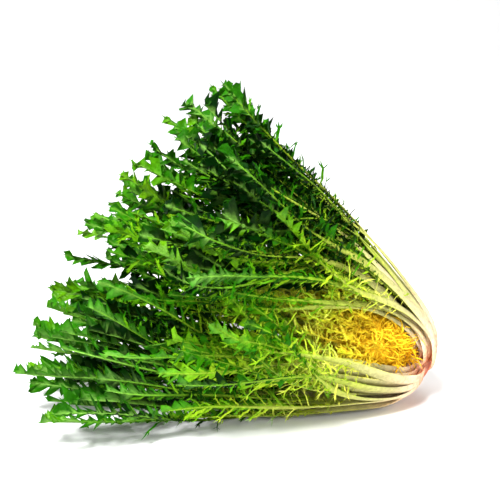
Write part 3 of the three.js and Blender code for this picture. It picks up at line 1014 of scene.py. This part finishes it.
class EndiveColours(bpy.types.PropertyGroup):
    """The colours of the leaves and of the cut stem"""

    cut: colour_property("Cut", "The foot of a rib, where it was cut", "c8784c")
    blush: colour_property("Blush", "The rib just past the cut", "eab490")
    blush_pale: colour_property("Blush pale", "The rib where its blush fades", "e4cba6")
    rib: colour_property("Rib", "The thick white part of the rib", "b9b27c")
    rib_lime: colour_property("Rib lime", "The rib where it turns green", "a6ac4c")
    rib_green: colour_property("Rib green", "The rib within the blade", "80a022")
    vein: colour_property("Vein", "The rib and the veins towards the leaf's end", "548618")
    vein_end: colour_property("Vein end", "The rib and the veins at the leaf's end", "6c9c3e")
    pale: colour_property("Pale", "The blade at its very start", "d8e05c")
    lime: colour_property("Lime", "The blade low on the leaf", "acc828")
    light: colour_property("Light", "The blade in the middle of the leaf", "62980a")
    green: colour_property("Green", "The blade of an outer leaf", "246a02")
    # Deep is reached where painted shade darkens a blade.
    deep: colour_property("Deep", "The darkest blades", "001a00")
    under: colour_property("Under", "The underside of a blade near its end", "a0d468")
    amber: colour_property("Amber", "The deepest curls of the heart", "f2ae18")
    gold: colour_property("Gold", "The curls of the heart", "f6c022")
    yellow: colour_property("Yellow", "The ends of the heart's curls, and youngest leaves", "eccc2c")
    glow: colour_property("Glow", "The light that comes through a blade", "90d010")
    pith: colour_property("Pith", "The middle of the cut stem", "f0dcae")
    pith_edge: colour_property("Pith edge", "The edge of the pith", "e8c68c")
    vein_ring: colour_property("Vein ring", "The ring of veins round the pith", "d99a5c")
    rust: colour_property("Rust", "The outer part of the cut", "c06a3a")
    rim: colour_property("Rim", "The rusted rim of the cut", "a8472a")
    peach: colour_property("Peach", "The stem's side next to the cut", "eeb494")
    stem: colour_property("Stem", "The stem's side", "f3dcc0")
    stem_top: colour_property("Stem top", "The stem's side where the leaves leave it", "f5e4b8")


class Endive:
    """What the operators share: the user's sizes and colours."""

    bl_options = {"REGISTER", "UNDO"}

    @staticmethod
    def sizes():
        """The sizes in millimetres, by name."""
        group = bpy.context.scene.endive_sizes
        return {name: getattr(group, name) / MM for name in ("blade", "lobe", "leaflet", "curl")}

    @staticmethod
    def colours():
        """The colours, scene-linear, by name."""
        group = bpy.context.scene.endive_colours
        return {name: tuple(getattr(group, name)) for name in EndiveColours.__annotations__}

    def leafy(self):
        """The finish of living leaf, in the user's colours."""
        return leaf_finish("endive_leaf", self.colours())


# ------------------------------------------------------------------ the pieces
class ENDIVE_OT_leaves(Endive, bpy.types.Operator):
    """Grow each long leaf on its own solid"""

    bl_idname = "endive.leaves"
    bl_label = "Long leaves"

    def execute(self, context):
        finish, sizes = self.leafy(), self.sizes()
        for i in range(LEAF_COUNT):
            course, skin = ShellLeaf(i), Skin()
            entire = 0.5 + 0.5 * chance(i, 97)
            near, up = course.facing_near(), course.facing_up()
            bare = lerp(0.2, 0.32, course.layer) + 0.16 * up
            plan = {
                **KINDS["long"],
                "bare": bare,
                "half": sizes["blade"] * lerp(0.9, 1.1, course.layer) * lerp(1.15, 0.85, entire),
                "lobe": sizes["lobe"],
                "notch": lerp(0.06, 0.18, entire),
                "rises": (0.2 + 0.1 * near, 0.58 + 0.1 * near),
                "leaflet": sizes["leaflet"],
                "leaflets": (bare - 0.06, 0.9, 12 + round(12 * near)),
            }
            youth = np.clip(0.7 - 1.15 * course.layer, 0, 0.75)
            lighter = 0.3 * chance(i, 91)
            # course.shade() is painted shade: it lowers the tone of leaves by their place round the
            # head. The ribs keep their tone without it.
            tone, rib_tone = 0.52 + lighter - course.shade(), 0.5 + lighter + 0.42 * up
            leaf(skin, course, plan, youth, tone, rib_tone)
            node = f"leaf_{i + 1:02d}"
            show(f"{node}_blade", skin, finish, [node])
        return {"FINISHED"}


class Strayed(ShellLeaf):
    """A leaf between two shells, which sways and bends further from its shell than a long leaf.
    Every other one closes over the parting."""

    def end_share(self):
        return super().end_share() if round(2 * self.index) % 2 else STRAY_END_SHARE

    def azimuth(self, s):
        grown = STRAY["degrees"] * chance(self.index, 11) * smoothstep(s, *STRAY["grows"])
        return super().azimuth(s) + grown * np.sin(s / STRAY["wave"] + 3 * self.index)

    def lift(self, s):
        away = STRAY["mm"] * chance(self.index, 12)
        away = lerp(away, -abs(away), self.under(s))
        return super().lift(s) * 0.5 + away * smoothstep(s / self.length, *STRAY["from"])


class ENDIVE_OT_between(Endive, bpy.types.Operator):
    """Grow the smaller leaves that lie between the shells of the long ones"""

    bl_idname = "endive.between"
    bl_label = "Leaves between"

    def execute(self, context):
        finish, sizes = self.leafy(), self.sizes()
        count = context.scene.endive_sizes.between
        groups = 4
        for g in range(groups):
            skin = Skin()
            for j in range(g, count, groups):
                self.grow(skin, sizes, j, count)
            show(f"leaves_between_{g + 1}", skin, finish, [])
        return {"FINISHED"}

    @staticmethod
    def grow(skin, sizes, j, count):
        """Leaf j: its shell and its turn are spread evenly, away from the parting's upper edge. One
        tip stands out past the others, low at the open end."""
        i = j * (LEAF_COUNT - 1) / count + 0.5
        turn = 14 + 332 / 360 * ((j * GOLDEN_ANGLE + 32) % 360)
        length_share = 0.92 + 0.08 * chance(j, 92)
        length_share *= STRAY_TIP["longer"] if j == STRAY_TIP["leaf"] else 1
        course = Strayed(i, length_share, turn)
        up = course.facing_up()
        bare = lerp(0.24, 0.42, course.layer) + 0.12 * up
        plan = {
            **KINDS["between"],
            "bare": bare,
            "half": sizes["blade"] * lerp(0.9, 1.05, course.layer),
            "lobe": sizes["lobe"],
            "leaflet": sizes["leaflet"] * 1.05,
            "leaflets": (bare - 0.04, 0.88, 12 + round(6 * course.facing_near())),
        }
        youth = np.clip(0.75 - 1.1 * course.layer, 0, 0.8)
        lighter = 0.3 * chance(j, 93)
        # The tone starts lower than a long leaf's, painted shade for leaves that lie between the
        # shells, and course.shade() takes off the painted shade of their place.
        leaf(skin, course, plan, youth, 0.3 + lighter - course.shade(), 0.4 + lighter + 0.3 * up)


class ENDIVE_OT_within(Endive, bpy.types.Operator):
    """Grow the broad leaves that fill the head within its outer shells, coloured dark as painted shade
    """

    bl_idname = "endive.within"
    bl_label = "Leaves within"

    def execute(self, context):
        sizes = self.sizes()
        skin = Skin()
        count = context.scene.endive_sizes.within
        plan = {**KINDS["within"], "half": sizes["blade"] * 1.3, "lobe": sizes["lobe"] * 1.3}
        for j in range(count):
            i = lerp(8, 40, (j + 0.5) / count) + 0.25
            turn = 8 + 344 / 360 * ((j * GOLDEN_ANGLE + 71) % 360)
            course = Strayed(i, 0.86 + 0.08 * chance(j, 152), turn)
            # A low tone colours them dark: painted shade inside the head.
            leaf(skin, course, plan, 0.1, 0.12 * chance(j, 153) - 0.1)
        show("leaves_within", skin, self.leafy(), [])
        return {"FINISHED"}


class EdgeLeaf(ShellLeaf):
    """A leaf from an edge of the parting, whose azimuth drifts as it grows and whose end lifts. Its
    course is given by its start and its drift in place of a turn."""

    def __init__(self, i, start, drift, length_share, lifted):
        self.start, self.drift, self.lifted = start, drift, lifted
        super().__init__(i, length_share, 90)

    def azimuth(self, s):
        swing = EDGE_SWING["degrees"] * np.sin(s / EDGE_SWING["wave"] + 2 * self.index)
        swing = swing * smoothstep(s, *EDGE_SWING["grows"])
        return self.start + self.drift * smoothstep(s, *EDGE_DRIFTS) + swing

    def rib_half(self, s):
        return super().rib_half(s) * eased(s, *EDGE_RIB)

    def lift(self, s):
        phase = s / EDGE_ENDS["wave"] + LIFT_WAVE["phase"] * self.index
        wave = EDGE_ENDS["wave_share"] * wave_room(s) * np.sin(phase)
        lifted = lerp(self.lifted, -EDGE_ENDS["inwards"] * abs(self.lifted), self.under(s))
        return wave + lifted * smoothstep(s / self.length, *EDGE_ENDS["lift_from"])

    def roll(self, s):
        """The leaf faces the parting near its root, and rolls to and fro further out."""
        ends = EDGE_ENDS_ROLL
        swing = ROLL["swing"] * chance(self.index, 8) * np.sin(s / ends["wave"] + self.index)
        turned = chance(self.index, 6) + swing
        late = smoothstep(s / self.length, *ends["from"])
        facing = ends["facing"] * (HEART["spill_at"] + ends["past"] - self.start)
        facing = facing * smoothstep(s, *EDGE_ROLL["from"])
        return np.radians(ends["degrees"] * turned * late + facing * (1 - late))


class ENDIVE_OT_edge(Endive, bpy.types.Operator):
    """Grow the leaves whose pale ribs line both edges of the parting and whose ends fill it"""

    bl_idname = "endive.edge"
    bl_label = "Leaves round the parting"

    def execute(self, context):
        sizes = self.sizes()
        skin = Skin()
        plan = {
            **KINDS["edge"],
            "half": sizes["blade"] * 0.9,
            "lobe": sizes["lobe"] * 0.95,
            "leaflet": sizes["leaflet"],
        }
        below, above = 24, 10
        for j in range(below + above):
            lower = j < below
            share = (j + 0.5) / below if lower else (j - below + 0.5) / above
            place = (j * 0.618034 + 0.3) % 1
            start = lerp(101, 150, place) if lower else lerp(32, 48, place)
            drift = 26 * chance(j, 141) - 8 if lower else 34 + 18 * chance(j, 141)
            length_share = (0.72 if lower else 0.84) + 0.18 * chance(j, 143)
            i = lerp(5, 45, share**0.7)
            course = EdgeLeaf(i, start, drift, length_share, 3 + 7 * chance(j, 144))
            leaf(skin, course, plan, lerp(0.5, 0.1, share), 0.45 + 0.25 * chance(j, 142))
        show("leaves_round_parting", skin, self.leafy(), [])
        return {"FINISHED"}


class StraightLeaf:
    """The course of a narrow leaf that grows from a root along a line that leans out and curls.
    height is how far its root stands along the head, for its colours."""

    def __init__(self, index, root, azimuth, lean, length, curl, half, height):
        self.index, self.root, self.length, self.half = index, root, length, half
        self.curl, self.height = curl, height
        out = straight_out(azimuth)
        self.across = np.cross(AXIS, out)
        self.along = cosd(lean) * AXIS + sind(lean) * out
        self.normal = -np.cross(self.across, self.along)

    def under(self, s):
        return 0.0

    def rib_half(self, s):
        return self.half * (1 - NARROW["slims"] * np.clip(s / self.length, 0, 1))

    def keel(self, s):
        return 0.5 * self.rib_half(s)

    def grown(self, s):
        return s + self.height

    def place(self, s, v, out):
        """The point s along the line, v across it and out off it, with slow waves both ways."""
        share = np.clip(s / self.length, 0, 1.1)
        away = np.minimum(1, s / NARROW["grows_by"])
        far, wave = NARROW["across"]
        v = v + far * away * np.sin(s / wave + 2.1 * self.index)
        v, out = rolled(v, out, np.radians(NARROW["roll"]) * chance(self.index, 6) * share)
        far, wave = NARROW["off"]
        bent = out + self.curl * share**2 * self.length + far * away * np.sin(s / wave + self.index)
        point = self.root + s[..., None] * self.along + v[..., None] * self.across
        return point + bent[..., None] * self.normal


class ENDIVE_OT_inner_spray(Endive, bpy.types.Operator):
    """Grow the narrow light green leaves between the heart and the long leaves"""

    bl_idname = "endive.inner_spray"
    bl_label = "Inner spray"

    def execute(self, context):
        skin = Skin()
        plan = {**KINDS["spray"], "leaflet": self.sizes()["leaflet"] * 0.95}
        low, high, radius = SPRAY["from"], SPRAY["to"], SPRAY["radius"]
        count = 28
        for i in range(count):
            share = (i + 0.5) / count
            turn = (i * GOLDEN_ANGLE) % 360
            through = i % 2 == 0
            azimuth = PARTING["middle"] + 0.16 * (turn - 180) if through else turn
            height = lerp(high - 6, low - 34, share)
            root = round_axis(lerp(1, radius * 0.9, share), height, azimuth)
            lean = lerp(3, SPRAY["through"] if through else SPRAY["lean"], share)
            length = 145 + 25 * chance(i, 31) + 10 * share
            curl = 0.05 * chance(i, 32)
            course = StraightLeaf(i, root, azimuth, lean, length, curl, 1.5, SPRAY["height"])
            leaf(skin, course, plan, 0.7, 0.5 + 0.2 * chance(i, 94))
        show("inner_spray_leaves", skin, self.leafy(), ["inner_spray"])
        return {"FINISHED"}


def egg_point(t, azimuth, share=1.0):
    """A point on the heart's egg, at a height that runs evenly from end to end. Its radius is a
    power of a skewed sine of t, blunt at the low end, and swells out by a cosine through the
    parting."""
    away = np.minimum(1, np.abs((azimuth % 360) - HEART["spill_at"]) / HEART["spill_half"])
    more = HEART["spill"] * np.cos(away * np.pi / 2) * smoothstep(t, -0.08, 0.14)
    way = HEART["blunt"] + (1 - HEART["blunt"]) * np.clip(t, 0, 1)
    radius = HEART["radius"] * np.sin(np.pi * way**1.05) ** 0.7 * (1 + more)
    return round_axis(radius * share, lerp(HEART["from"], HEART["to"], t), azimuth)


class Anywhere:
    """Courses without a shell: the foot and the three directions of each are given outright."""

    def __init__(self, origin, along, across, normal, height):
        self.axes, self.height = (origin, along, across, normal), height

    def grown(self, s):
        return s + self.height.reshape((-1,) + (1,) * (s.ndim - 1))

    def place(self, s, v, out):
        """The point s along, v across and out along the normal, from each foot."""
        shape = (len(self.height),) + (1,) * (s.ndim - 1) + (3,)
        origin, along, across, normal = (a.reshape(shape) for a in self.axes)
        return origin + s[..., None] * along + v[..., None] * across + out[..., None] * normal


class ENDIVE_OT_heart(Endive, bpy.types.Operator):
    """Grow the dense tuft of fine yellow curls, and the short frilled leaves that stand out of it"""

    bl_idname = "endive.heart"
    bl_label = "Heart"

    def execute(self, context):
        finish, sizes = self.leafy(), self.sizes()
        skin = Skin()
        self.core(skin)
        self.curls(skin, context.scene.endive_sizes.curls, sizes["curl"])
        show("heart_curls", skin, finish, ["heart"])
        skin = Skin()
        self.frills(skin, sizes["leaflet"])
        show("heart_frills", skin, finish, [])
        return {"FINISHED"}

    @staticmethod
    def frills(skin, leaflet, count=30):
        """Short narrow leaves that root on the egg round the parting and lean out through it."""
        plan = {**KINDS["frill"], "leaflet": leaflet * 0.72}
        for i in range(count):
            share = (i + 0.5) / count
            azimuth = HEART["spill_at"] + 44 * chance(i, 131)
            root = egg_point(np.array(lerp(0.12, 0.9, share)), np.array(azimuth), 0.7)
            lean = lerp(38, 16, share) + 9 * chance(i, 132)
            length = lerp(52, 92, share) + 14 * chance(i, 133)
            curl = 0.16 * chance(i, 134)
            course = StraightLeaf(i, root, azimuth, lean, length, curl, 0.9, lerp(34, 74, share))
            leaf(skin, course, plan, 0.95, 0.5 + 0.2 * chance(i, 135))

    @staticmethod
    def core(skin):
        """A grid over the egg, a little smaller than it."""
        rows, columns, grown = 14, 40, 30.0
        t = np.linspace(0.02, 0.97, rows)
        azimuth = np.arange(columns) * 360 / columns
        core = egg_point(t[:, None] + 0 * azimuth, azimuth + 0 * t[:, None], 0.86)[None]
        growth = growth_of(np.full((1, rows, columns), grown), 1.0, 1.0, 0.5)
        end = egg_point(np.array([1.0]), np.array([0.0]))
        skin.tubes(core[:, :, ::-1], end, growth, growth_of(np.full(1, grown), 1.0, 1.0, 0.5))

    @staticmethod
    def curls(skin, n, long):
        """Toothed curls from points spread over the egg by the golden angle, and drawn together by a
        square towards the parting. Each leans out from the axis, swings to a side and winds about."""
        k = np.arange(n)
        away = (k * GOLDEN_ANGLE / 180) % 2 - 1
        azimuth = HEART["spill_at"] + 180 * away * np.abs(away)
        t = lerp(0.02, 0.99, (k + 0.5) / n)
        root = egg_point(t, azimuth, 0.84 + 0.06 * chance(k, 100))
        root = root - (4 * (1 - t) ** 4)[:, None] * AXIS
        lean = np.radians(lerp(60, 24, t) + 48 * chance(k, 101))[:, None]
        swing = np.radians(70 * chance(k, 102))[:, None]
        out = straight_out(azimuth)
        up = np.cos(swing) * AXIS + np.sin(swing) * np.cross(AXIS, out)
        along = np.cos(lean) * up + np.sin(lean) * out
        across = np.cross(along, out)
        across /= np.linalg.norm(across, axis=1)[:, None]
        course = Anywhere(root, along, across, np.cross(along, across), 20 + 70 * t)
        zero = np.zeros(n)
        heading = (zero + 1, 30 * chance(k, 105), 20 * chance(k, 106))
        size = (long * (0.8 + 0.4 * chance(k, 103)), 0.62 + 0.24 * chance(k, 104))
        bend, curl, twist = 170 * chance(k, 107), 150 * chance(k, 108), 200 * chance(k, 109)
        shape = (bend, curl, twist, 0.2 + zero, 0.4 + 0.2 * chance(k, 110))
        tone = 0.5 + 0.35 * chance(k, 111)
        blades(skin, course, (zero, zero, zero), heading, size, shape, 1.0, tone)


class ENDIVE_OT_stump(Endive, bpy.types.Operator):
    """Turn the short cut stem"""

    bl_idname = "endive.stump"
    bl_label = "Stump"

    # Radius, height, and place on the finish: up to 1 on the cut, and more than 1 on the side.
    PROFILE = (
        (3.0, -4.6, 0.2),
        (6.0, -4.7, 0.4),
        (9.0, -4.9, 0.6),
        (11.5, -5.0, 0.78),
        (13.6, -5.0, 0.93),
        (14.5, -4.5, 1.0),
        (15.2, -3.2, 1.2),
        (15.7, -1.2, 1.4),
        (15.0, 1.5, 1.6),
        (13.3, 6.0, 2.0),
        (11.0, 12.0, 2.4),
        (9.2, 17.0, 2.8),
        (7.4, 20.0, 3.0),
        (4.0, 20.8, 3.1),
    )
    TOP = 20.9

    def execute(self, context):
        """The profile turned round the axis, with ripples of two lengths down its side and a
        shallow wave on its cut."""
        columns = 96
        radius, height, place = (column[:, None] for column in np.array(self.PROFILE).T)
        azimuth = np.arange(columns) * 360 / columns + 0 * radius
        ripple = 0.18 * sind(azimuth * 13) + 0.12 * sind(azimuth * 29 + 40)
        side = smoothstep(place, 0.9, 1.3)
        sunk = 0.12 * sind(azimuth * 5 + 90 * place) * (1 - side)
        points = round_axis(radius + ripple * side - 0.3 * side, height + sunk, azimuth)[None]
        growth = growth_of(GROWTH_UNIT * place, azimuth / 360, 0.0, 0.5)[None]
        skin = Skin()
        end = round_axis(np.array([0.0]), np.array([self.TOP]), np.array([0.0]))
        last = growth_of(GROWTH_UNIT * place[-1], 0.0, 0.0, 0.5)
        skin.tubes(points[:, :, ::-1], end, growth, last)
        show("stump_cut", skin, stump_finish("endive_stump", self.colours()), ["stump"])
        return {"FINISHED"}


# ------------------------------------------------------------------ the stage
CAMERA = {"azimuth": -8.0, "elevation": 15.0, "distance": 1100.0, "lens": 101.5, "sensor": 36.0}
FRAME_PIXELS = 500
# Where the middle of the cut stands in the frame, in pixels right of and below its centre.
CUT_IN_FRAME = (173.5, 115.0)

# In metres: half the floor's width, where it starts to bend up, how widely, and the wall's top.
FLOOR = {"half": 8.0, "bends_at": 1.6, "bend": 0.8, "top": 3.5, "colour": (0.84, 0.84, 0.84)}
# Each light's place and target in metres, its size in metres and its power in watts.
LIGHTS = {
    "key_light": ((-0.4, -0.85, 1.2), (0, 0, 0.08), 0.42, 56.0),
    "fill_light": ((0.6, -1.3, 0.7), (0.08, 0, 0.05), 0.5, 15.0),
    "back_light": ((-0.3, 1.2, 1.1), (0, 0, 0.08), 1.0, 6.0),
    "wall_light": ((0, 0.3, 2.6), (0, 2.4, 1.2), 1.5, 60.0),
}
WORLD_STRENGTH = 0.03


class ENDIVE_OT_stage(Endive, bpy.types.Operator):
    """Set the floor, the lights and the camera"""

    bl_idname = "endive.stage"
    bl_label = "Stage"

    def execute(self, context):
        scene = context.scene
        self.floor(scene)
        for name, light in LIGHTS.items():
            self.light(scene, name, *light)
        world = bpy.data.worlds.new("studio")
        world.use_nodes = True
        background = world.node_tree.nodes["Background"]
        background.inputs["Color"].default_value = (1.0, 1.0, 1.0, 1.0)
        background.inputs["Strength"].default_value = WORLD_STRENGTH
        scene.world = world
        scene.view_settings.view_transform = "Standard"
        scene.cycles.max_bounces = 8
        scene.cycles.transparent_max_bounces = 4
        self.camera(scene)
        return {"FINISHED"}

    def floor(self, scene):
        """A large flat square whose far side bends up smoothly, by a quarter circle, into a wall."""
        bend = np.linspace(0, np.pi / 2, 24)
        start, radius = FLOOR["bends_at"], FLOOR["bend"]
        y = np.concatenate([[-FLOOR["half"]], start + radius * np.sin(bend), [start + radius]])
        z = np.concatenate([[0.0], radius - radius * np.cos(bend), [FLOOR["top"]]])
        x = np.array([-FLOOR["half"], FLOOR["half"]])
        points = np.stack([np.tile(x, len(y)), np.repeat(y, 2), np.repeat(z, 2)], -1)
        k = np.arange(len(y) - 1) * 2
        faces = np.stack([k, k + 1, k + 3, k + 2], -1)
        mesh = bpy.data.meshes.new("floor")
        mesh.from_pydata(points.tolist(), [], faces.tolist())
        mesh.polygons.foreach_set("use_smooth", np.ones(len(faces), bool))
        mesh.update()
        mesh.materials.append(floor_finish("pale_floor"))
        floor = bpy.data.objects.new("floor", mesh)
        scene.collection.objects.link(floor)

    def light(self, scene, name, place, target, size, power):
        """A square area light, turned by its yaw and pitch towards its target."""
        lamp = bpy.data.lights.new(name, "AREA")
        lamp.size, lamp.energy = size, power
        holder = bpy.data.objects.new(name, lamp)
        holder.location = place
        aim = np.array(target) - np.array(place)
        yaw = math.atan2(aim[1], aim[0])
        pitch = math.atan2(aim[2], math.hypot(aim[0], aim[1]))
        holder.rotation_euler = (math.pi / 2 + pitch, 0.0, yaw - math.pi / 2)
        scene.collection.objects.link(holder)

    def camera(self, scene):
        """The camera stands back along its direction from a point that puts the cut in its place."""
        azimuth, elevation = CAMERA["azimuth"], CAMERA["elevation"]
        flat = np.array([sind(azimuth), -cosd(azimuth), 0.0])
        back = cosd(elevation) * flat + np.array([0.0, 0.0, sind(elevation)])
        right = np.array([cosd(azimuth), sind(azimuth), 0.0])
        up = np.cross(back, right)
        lens = bpy.data.cameras.new("camera")
        lens.lens, lens.sensor_width = CAMERA["lens"], CAMERA["sensor"]
        pixel = CAMERA["distance"] * CAMERA["sensor"] / CAMERA["lens"] / FRAME_PIXELS
        cut = BUTT + SHIFT + AXIS * STUMP_PROFILE[0][1]
        aim = cut - right * CUT_IN_FRAME[0] * pixel + up * CUT_IN_FRAME[1] * pixel
        holder = bpy.data.objects.new("camera", lens)
        holder.location = (aim + back * CAMERA["distance"]) * MM
        holder.rotation_euler = (math.radians(90 - elevation), 0.0, math.radians(azimuth))
        scene.collection.objects.link(holder)
        scene.camera = holder


# ------------------------------------------------------------------ the panel
OPERATORS = (
    ENDIVE_OT_stage,
    ENDIVE_OT_stump,
    ENDIVE_OT_heart,
    ENDIVE_OT_inner_spray,
    ENDIVE_OT_leaves,
    ENDIVE_OT_between,
    ENDIVE_OT_within,
    ENDIVE_OT_edge,
)


class ENDIVE_PT_panel(bpy.types.Panel):
    """The head's sizes, colours and pieces"""

    bl_label = "Curly endive head"
    bl_idname = "ENDIVE_PT_panel"
    bl_space_type = "VIEW_3D"
    bl_region_type = "UI"
    bl_category = "Endive"

    def draw(self, context):
        for group in (context.scene.endive_sizes, context.scene.endive_colours):
            for name in group.bl_rna.properties.keys():
                if name not in {"rna_type", "name"}:
                    self.layout.prop(group, name)
        for operator in OPERATORS:
            self.layout.operator(operator.bl_idname)


CLASSES = (EndiveSizes, EndiveColours, *OPERATORS, ENDIVE_PT_panel)


def register():
    for cls in CLASSES:
        bpy.utils.register_class(cls)
    bpy.types.Scene.endive_sizes = bpy.props.PointerProperty(type=EndiveSizes)
    bpy.types.Scene.endive_colours = bpy.props.PointerProperty(type=EndiveColours)


def unregister():
    del bpy.types.Scene.endive_colours
    del bpy.types.Scene.endive_sizes
    for cls in reversed(CLASSES):
        bpy.utils.unregister_class(cls)


def main():
    register()
    for operator in OPERATORS:
        group, name = operator.bl_idname.split(".")
        getattr(getattr(bpy.ops, group), name)()


if __name__ == "__main__":
    main()
